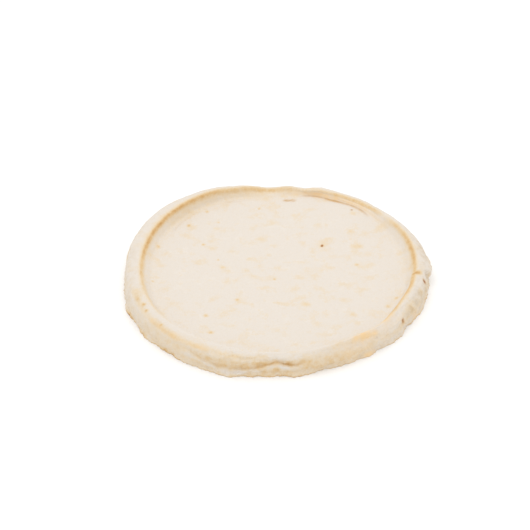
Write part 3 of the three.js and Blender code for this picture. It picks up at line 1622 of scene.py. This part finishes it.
@dataclass(frozen=True)
class DoughFinish:
    """Pale par-baked dough, toasted along its edges and in its creases.

    The first five colours are steps of toasting, which the bands add up to; on the inner wall at the
    back left and the front of the outer wall the bands also darken it as painted shade.
    The others lie over them in places: the greyer one is partly mottling and partly painted shade at
    the rim's edges, and the bright golden one, which also lies where its bands show, is golden
    toasting brightened as painted light. Sizes are in millimetres.
    A name with patchy or grain says how much that noise changes a value, one with even is the
    value's steady share, and those with from, full, until and gone are the ends of a fade. Flour
    and blotches lie only where the skin is bare of toasting.
    """

    pale: Rgb = (225, 216, 205)
    cream: Rgb = (226, 208, 181)
    golden: Rgb = (221, 192, 148)
    brown: Rgb = (207, 166, 112)
    deep: Rgb = (176, 128, 78)
    flour: Rgb = (228, 220, 210)
    shade_colour: Rgb = (206, 188, 162)
    crease_colour: Rgb = (202, 161, 106)
    dark_colour: Rgb = (146, 78, 30)
    amber_painted_light_colour: Rgb = (236, 204, 158)
    roughness: float = 0.82
    specular: float = 0.25
    band_seed: float = 21.0
    band_from: float = -0.35
    band_full: float = 0.45
    patch_size: float = 6.0
    patch_seed: float = 23.0
    toast_patchy: float = 0.25
    amber_painted_light_patchy: float = 0.5
    crease_patchy: float = 0.4
    crease_even: float = 0.9
    shade_size: float = 6.0
    shade_seed: float = 25.0
    shade_from: float = -0.15
    shade_full: float = 0.5
    shade_patchy: float = 0.6
    shade_even: float = 0.2
    shade_grain: float = 0.4
    blotch_size: float = 12.0
    blotch_seed: float = 21.0
    blotch: float = 0.25
    streak: float = 0.85
    dust_seed: float = 24.0
    dust: float = 0.7
    dust_full: float = 0.7
    dust_until: float = 0.02
    dust_gone: float = 0.15
    grain_size: float = 1.6
    grain_seed: float = 22.0
    grain: float = 0.1
    fleck_spacing: float = 13.0
    fleck_size: float = 1.8
    fleck: float = 0.06
    fleck_from: float = 0.3
    bare_until: float = 0.05
    bare_gone: float = 0.3
    halo: float = 1.6
    halo_strength: float = 0.4
    grain_bump: float = 0.12
    patch_bump: float = 0.25
    bump: float = 0.6
    bands: tuple[Band, ...] = (
        BROWNED_EDGE,
        TOASTED_SHOULDER,
        GOLDEN_PATCH,
        TOASTED_ROLL,
        RIGHT_SIDE,
        TOASTED_BASE_EDGE,
        OUTER_WALL,
        INNER_WALL,
        UNDERSIDE,
    )
    amber_painted_light_bands: tuple[Band, ...] = (GOLDEN_WALL_PAINTED_LIGHT, GOLDEN_SHOULDER_PAINTED_LIGHT, GOLDEN_EDGE_PAINTED_LIGHT)
    # Where the greyer coat lies round the rim: mottling on the right wall, and painted shade on the
    # outer edge of the rim at the left and the right.
    shaded: Around = Around(
        0.14,
        (
            Swell(345, 10, 0.2),
            Swell(10, 14, 0.75),
            Swell(305, 25, -0.1),
            Swell(222, 20, 0.1),
            Swell(184, 22, 0.3),
        ),
    )
    specks: tuple[Speck, ...] = (
        Speck(46, 41.4, 1.1, 0.9, kind=SpeckKind.DARK),
        Speck(46.3, 43.2, 1.0, 0.9, kind=SpeckKind.DARK),
        Speck(46.5, 44.5, 6.0, 0.2),
        Speck(-74, 103, 2.0, 0.45),
        Speck(-92, 77, 2.4, 0.45),
        Speck(-75, 43, 1.9, 0.5),
        Speck(-61, 83, 1.3, 0.4),
        Speck(-19, 109, 1.4, 0.5),
        Speck(-59, 17, 1.3, 0.45),
        Speck(-54, 4, 2.4, 0.3),
        Speck(78.6, 99.6, 1.0, 0.7, z=16.8, kind=SpeckKind.DARK),
        Speck(79.6, 92.9, 3.0, 0.25, z=16.7),
        Speck(62.4, 122.3, 3.4, 0.18, z=19.1),
        Speck(76, 66, 3.0, 0.3),
        Speck(84, 41, 4.0, 0.25),
        Speck(80, 10, 2.4, 0.4),
        Speck(-2, -15, 1.6, 0.35),
        Speck(-122, -21, 1.6, 0.5),
        Speck(-121, 38, 2.2, 0.4),
        Speck(-38, -48, 1.9, 0.4),
        Speck(-67, -73, 2.2, 0.5),
        Speck(-61, -98, 2.2, 0.5),
        Speck(26, -54, 3.4, 0.22),
        Speck(30, -55, 3.4, 0.25),
        Speck(116, -44, 2.2, 0.45),
        Speck(107, -57, 2.6, 0.4),
        Speck(73, -70, 2.8, 0.3),
        Speck(-125.5, -69.5, 2.0, 0.6, z=21.0),
        Speck(-122.5, -78.5, 1.8, 0.5, z=21.0),
        Speck(-132.5, -61, 1.4, 0.2, z=21.0),
        Speck(-107, -99.5, 1.5, 0.4, z=21.0),
        Speck(144.2, -25, 2.2, 1.0, z=17.0, kind=SpeckKind.DARK),
        Speck(119.3, -82, 2.1, 0.8, z=13.8, kind=SpeckKind.DARK),
        # Greyer spots on the right wall: mottling of the dough, darkened as painted shade where that
        # wall turns away from the light.
        Speck(139, -44, 4.0, 0.8, z=17.5, kind=SpeckKind.SMUDGE),
        Speck(134, -56, 4.5, 0.65, z=18.0, kind=SpeckKind.SMUDGE),
        Speck(129, -67, 4.0, 0.7, z=17.0, kind=SpeckKind.SMUDGE),
        Speck(125, -74, 3.5, 0.5, z=15.0, kind=SpeckKind.SMUDGE),
        Speck(146, -33, 3.5, 0.65, z=13.0, kind=SpeckKind.SMUDGE),
        Speck(142, -46, 4.0, 0.4, z=10.0, kind=SpeckKind.SMUDGE),
        # Bright golden spots: the patch and the flap at the front right and the slope beside them,
        # golden toasting brightened as painted light.
        Speck(73, -118.5, 4.0, 0.6, z=22.7, kind=SpeckKind.AMBER),
        Speck(79, -115, 4.6, 0.9, z=21.9, kind=SpeckKind.AMBER),
        Speck(85, -111.4, 4.6, 1.0, z=21.0, kind=SpeckKind.AMBER),
        Speck(90.5, -107.5, 3.6, 0.7, z=20.0, kind=SpeckKind.AMBER),
        Speck(98, -98, 9.0, 0.25, z=13.0, kind=SpeckKind.AMBER),
        Speck(67, -126, 10.0, 0.3, z=14.9, kind=SpeckKind.AMBER),
        Speck(82, -117.5, 8.0, 0.25, z=13.5, kind=SpeckKind.AMBER),
        Speck(83.5, -119, 2.6, 0.8, z=2.0, kind=SpeckKind.AMBER),
        Speck(87.5, -116.4, 2.8, 0.9, z=2.0, kind=SpeckKind.AMBER),
        Speck(91.3, -112.8, 2.6, 0.8, z=1.6, kind=SpeckKind.AMBER),
        Speck(102, -91, 5.0, 0.45, z=21.5, kind=SpeckKind.AMBER),
        Speck(107.5, -83.5, 4.0, 0.4, z=21.5, kind=SpeckKind.AMBER),
        Speck(134, -60, 5.0, 0.5, z=3.8, kind=SpeckKind.AMBER),
        Speck(139.5, -42, 3.2, 0.35, z=16.9),
        Speck(129, -66, 3.6, 0.4, z=16.4),
        Speck(146, -29, 4.0, 0.3, z=8.5),
        Speck(150.5, -7.7, 2.2, 0.4, z=12.0),
    )

    def band_share(self, form: CrustForm, place: PlainPlace, band: Band) -> Field:
        """How strongly one band shows, from 0 to 1.

        Args:
            form: The crust's form.
            place: Places on its plain ring.
            band: The band.

        Returns:
            The share.
        """
        at = form.section.along_at
        shift = place.around(band.shift)
        stretch = place.band(
            shift + at(band.first),
            shift + at(band.last),
            place.around(band.outward),
            place.around(band.inward),
        )
        strength = place.around(band.strength).limited()
        if band.patchy:
            patches = place.sheet.noise(place.spot, band.patch_size, self.band_seed)
            patches = patches.rise(self.band_from, self.band_full)
            strength = strength * (patches * band.patchy + (1 - band.patchy))
        return stretch * strength

    def band_total(self, form: CrustForm, place: PlainPlace, bands: tuple[Band, ...]) -> Field:
        """How strongly several bands show together.

        Args:
            form: The crust's form.
            place: Places on its plain ring.
            bands: The bands.

        Returns:
            The sum of their shares.
        """
        total = 0.0
        for band in bands:
            total = self.band_share(form, place, band) + total
        return total

    def toast(self, form: CrustForm, place: PlainPlace) -> Field:
        """How toasted each point of the skin is, from 0 to about 1, with painted shade on the inner
        wall at the back left and on the front of the outer wall.

        Args:
            form: The crust's form.
            place: Places on its plain ring.

        Returns:
            The toasting and painted shade.
        """
        total = self.band_total(form, place, self.bands)
        total = place.sheet.math("MAXIMUM", total, form.seam_share(place) * form.seam.tint)
        fold = form.fold
        lip = ((form.fold_gap(place) + fold.pale_depth) / fold.pale_spread).hump()
        return total - lip * place.swells(fold.strength) * form.on_outer_wall(place) * fold.pale

    def amber(self, form: CrustForm, place: PlainPlace) -> Field:
        """Where the skin takes the bright golden coat, from 0 to about 1: golden toasting brightened
        as painted light.
        """
        return self.band_total(form, place, self.amber_painted_light_bands)

    def shade(self, form: CrustForm, place: PlainPlace) -> Field:
        """Where the outer wall and rim are greyer, from 0 to 1: partly mottling of the dough, partly
        painted shade on the outer edge of the rim at the left and the right.

        Args:
            form: The crust's form.
            place: Places on its plain ring.

        Returns:
            The share.
        """
        patches = place.sheet.noise(place.spot, self.shade_size, self.shade_seed, FINE_DETAIL)
        patches = patches.rise(self.shade_from, self.shade_full)
        at = form.section.along_at
        wall = place.along.rise(at(Station.NECK), at(Station.BELLY))
        wall = wall * place.along.fall(at(Station.SHOULDER), at(Station.INNER_EDGE))
        share = patches * self.shade_patchy + self.shade_even
        return share * place.around(self.shaded) * wall

    def creases(self, form: CrustForm, place: PlainPlace) -> Field:
        """Where the skin lies in a browned crease, from 0 to 1.

        Args:
            form: The crust's form.
            place: Places on its plain ring.

        Returns:
            The share.
        """
        fold, gap = form.fold, form.fold_gap(place)
        above = (gap.positive() / fold.tint_above).hump()
        below = ((-gap).positive() / fold.tint_below).hump()
        total = above * below * place.swells(fold.tint) * form.on_outer_wall(place)
        for crease in form.creases:
            total = form.crease_share(place, crease) * crease.tint + total
        return total.limited()

    def speck_mask(self, sheet: NodeSheet, place: Field, kind: SpeckKind) -> Field:
        """Where specks of one kind lie, with the tan halos of dark ones.

        Args:
            sheet: The sheet of the material.
            place: Place in the part's frame, in millimetres.
            kind: Kind of speck.

        Returns:
            Their strength.
        """
        total = 0.0
        for speck in self.specks:
            radius, strength = speck.radius, speck.strength
            if kind is SpeckKind.TAN and speck.kind is SpeckKind.DARK:
                radius, strength = radius * self.halo, strength * self.halo_strength
            elif speck.kind is not kind:
                continue
            gap = sheet.vector_math("DISTANCE", place, (speck.x, speck.y, speck.z))
            total = (gap / radius).hump() * strength + total
        return total

    def baked_colour(self, sheet: NodeSheet, place: Field, grain: Field, patch: Field) -> Field:
        """Colour of the toasted skin with its blotches, flecks, tan specks and flour.

        Args:
            sheet: The sheet of the material.
            place: Place in the part's frame, in millimetres.
            grain: Fine noise.
            patch: Coarser noise.

        Returns:
            The colour.
        """
        streaked = sheet.vector_math("MULTIPLY", place, (self.streak, 1.0, 1.0))
        blotches = sheet.noise(streaked, self.blotch_size, self.blotch_seed, FINE_DETAIL).positive()
        away, chance = sheet.cells(place, self.fleck_spacing)
        flecks = (away / self.fleck_size).hump() * chance.rise(self.fleck_from, 1.0)

        toast = self.attribute(sheet, "toast")
        bare = toast.fall(self.bare_until, self.bare_gone)
        level = toast * (patch * self.toast_patchy + 1.0)
        level = level + (blotches * self.blotch + flecks * self.fleck) * bare
        level = level + self.speck_mask(sheet, place, SpeckKind.TAN) + grain * self.grain

        dust = sheet.noise(streaked, self.blotch_size, self.dust_seed, FINE_DETAIL)
        dust = dust.rise(0.0, self.dust_full) * level.fall(self.dust_until, self.dust_gone)
        return sheet.mix(dust * self.dust, self.ramp(sheet, level), linear(*self.flour))

    def colour(self, sheet: NodeSheet, place: Field, grain: Field, patch: Field) -> Field:
        """Colour of the skin with all that lies over its toasting.

        Args:
            sheet: The sheet of the material.
            place: Place in the part's frame, in millimetres.
            grain: Fine noise.
            patch: Coarser noise.

        Returns:
            The colour.
        """
        smudges_and_painted_shade = self.attribute(sheet, "shade") + self.speck_mask(sheet, place, SpeckKind.SMUDGE)
        amber = self.attribute(sheet, "amber") + self.speck_mask(sheet, place, SpeckKind.AMBER)
        crease = self.attribute(sheet, "crease")
        # Coats over the toasting: the greyer one is partly mottling and partly painted shade, the
        # bright golden one is painted light over golden toasting, then browned creases and dark
        # specks.
        coats = (
            (smudges_and_painted_shade * (grain * self.shade_grain + 1.0), self.shade_colour),
            (amber * (patch * self.amber_painted_light_patchy + 1.0), self.amber_painted_light_colour),
            (crease * (patch * self.crease_patchy + self.crease_even), self.crease_colour),
            (self.speck_mask(sheet, place, SpeckKind.DARK), self.dark_colour),
        )
        total = self.baked_colour(sheet, place, grain, patch)
        for share, coat in coats:
            total = sheet.mix(share.limited(), total, linear(*coat))
        return total

    def material(self) -> bpy.types.Material:
        """Makes the dough's material.

        Returns:
            The material.
        """
        made = bpy.data.materials.new("baked dough")
        made.use_nodes = True
        made.node_tree.nodes.clear()
        sheet = NodeSheet(made.node_tree)
        coordinates = sheet.node("ShaderNodeTexCoord").outputs["Object"]
        place = sheet.vector_math("SCALE", Field(sheet, coordinates), 1 / MM)
        grain = sheet.noise(place, self.grain_size, self.grain_seed, FINE_DETAIL)
        patch = sheet.noise(place, self.patch_size, self.patch_seed, FINE_DETAIL)

        bump = sheet.node("ShaderNodeBump")
        sheet.feed(bump.inputs["Height"], grain * self.grain_bump + patch * self.patch_bump)
        sheet.feed(bump.inputs["Distance"], MM)
        sheet.feed(bump.inputs["Strength"], self.bump)

        shader = sheet.node("ShaderNodeBsdfPrincipled")
        sheet.feed(shader.inputs["Base Color"], self.colour(sheet, place, grain, patch))
        sheet.feed(shader.inputs["Roughness"], self.roughness)
        sheet.feed(shader.inputs["Specular IOR Level"], self.specular)
        sheet.feed(shader.inputs["Normal"], bump.outputs[0])
        output = sheet.node("ShaderNodeOutputMaterial")
        sheet.feed(output.inputs["Surface"], shader.outputs[0])
        return made

    def attribute(self, sheet: NodeSheet, name: str) -> Field:
        """Reads a stored attribute in the material."""
        made = sheet.node("ShaderNodeAttribute", attribute_name=name)
        return Field(sheet, made.outputs["Fac"])

    def ramp(self, sheet: NodeSheet, level: Field) -> Field:
        """Turns the level of toasting into a colour.

        Args:
            sheet: The sheet of the material.
            level: How toasted the skin is, from 0 to 1.

        Returns:
            The colour.
        """
        made = sheet.node("ShaderNodeValToRGB")
        stops = (self.pale, self.cream, self.golden, self.brown, self.deep)
        elements = made.color_ramp.elements
        while len(elements) < len(stops):
            elements.new(0.5)
        for index, (element, colour) in enumerate(zip(elements, stops)):
            element.position = index / (len(stops) - 1)
            element.color = linear(*colour)
        sheet.feed(made.inputs[0], level)
        return Field(sheet, made.outputs[0])


@dataclass(frozen=True)
class Studio:
    """Pale floor, soft light and the camera at the photo's angle."""

    floor_side: float = 6.0
    floor_colour: Rgb = (250, 250, 250)
    sky_strength: float = 0.98
    key_power: float = 5.0
    key_size: float = 1.2
    key_place: tuple[float, float, float] = (-0.05, 0.2, 1.5)
    elevation: float = 37.0
    distance: float = 1.3
    pixels_per_mm: float = 1.0
    middle_px: tuple[float, float] = (276.7, 279.0)
    sensor: float = 36.0

    def build(self) -> None:
        """Makes the floor, the lights and the camera."""
        self.colours()
        self.floor()
        self.sky()
        self.key()
        self.camera()

    def colours(self) -> None:
        """Shows colours as they are."""
        settings = bpy.context.scene.view_settings
        settings.view_transform = "Standard"
        settings.look = "None"

    def floor(self) -> None:
        """Makes the plain floor under the crust."""
        half = 0.5 * self.floor_side
        square = [(-half, -half, 0), (half, -half, 0), (half, half, 0), (-half, half, 0)]
        mesh = bpy.data.meshes.new("floor")
        mesh.from_pydata(square, [], [(0, 1, 2, 3)])
        material = bpy.data.materials.new("floor")
        material.use_nodes = True
        shader = material.node_tree.nodes["Principled BSDF"]
        shader.inputs["Base Color"].default_value = linear(*self.floor_colour)
        shader.inputs["Roughness"].default_value = 1.0
        shader.inputs["Specular IOR Level"].default_value = 0.0
        mesh.materials.append(material)
        made = bpy.data.objects.new("floor", mesh)
        bpy.context.scene.collection.objects.link(made)

    def sky(self) -> None:
        """Surrounds the scene with even white light."""
        world = bpy.data.worlds.new("soft sky")
        world.use_nodes = True
        world.node_tree.nodes["Background"].inputs["Color"].default_value = (1, 1, 1, 1)
        world.node_tree.nodes["Background"].inputs["Strength"].default_value = self.sky_strength
        bpy.context.scene.world = world

    def key(self) -> None:
        """Hangs a large soft lamp over the crust."""
        lamp = bpy.data.lights.new("soft lamp", "AREA")
        lamp.energy = self.key_power
        lamp.size = self.key_size
        made = bpy.data.objects.new("soft lamp", lamp)
        made.location = self.key_place
        made.rotation_euler = (-Vector(self.key_place)).to_track_quat("-Z", "Y").to_euler()
        bpy.context.scene.collection.objects.link(made)

    def camera(self) -> None:
        """Sets the camera so that the crust falls on the photo's pixels."""
        focal_px = self.pixels_per_mm * self.distance / MM
        tilt = math.radians(self.elevation)
        place = Vector((0.0, -math.cos(tilt), math.sin(tilt))) * self.distance
        ahead = -place.normalized()
        right = Vector((1.0, 0.0, 0.0))
        up = right.cross(ahead)
        middle = 0.5 * PHOTO_SIDE
        aside = (middle - self.middle_px[0]) / focal_px
        above = (self.middle_px[1] - middle) / focal_px

        data = bpy.data.cameras.new("camera")
        data.sensor_width = self.sensor
        data.lens = self.sensor * focal_px / PHOTO_SIDE
        made = bpy.data.objects.new("camera", data)
        made.location = place
        made.rotation_euler = (ahead + right * aside + up * above).to_track_quat("-Z", "Y").to_euler()
        bpy.context.scene.collection.objects.link(made)
        bpy.context.scene.camera = made


def main() -> None:
    """Builds the crust and the studio and reports the pieces."""
    logging.basicConfig(level=logging.INFO, format="%(name)s: %(message)s")
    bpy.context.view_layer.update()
    crust = CrustForm().build(DoughFinish())
    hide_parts("crust")
    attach(crust, "root")
    LOG.info("crust: %d faces", len(crust.data.polygons))
    Studio().build()


if __name__ == "__main__":
    main()
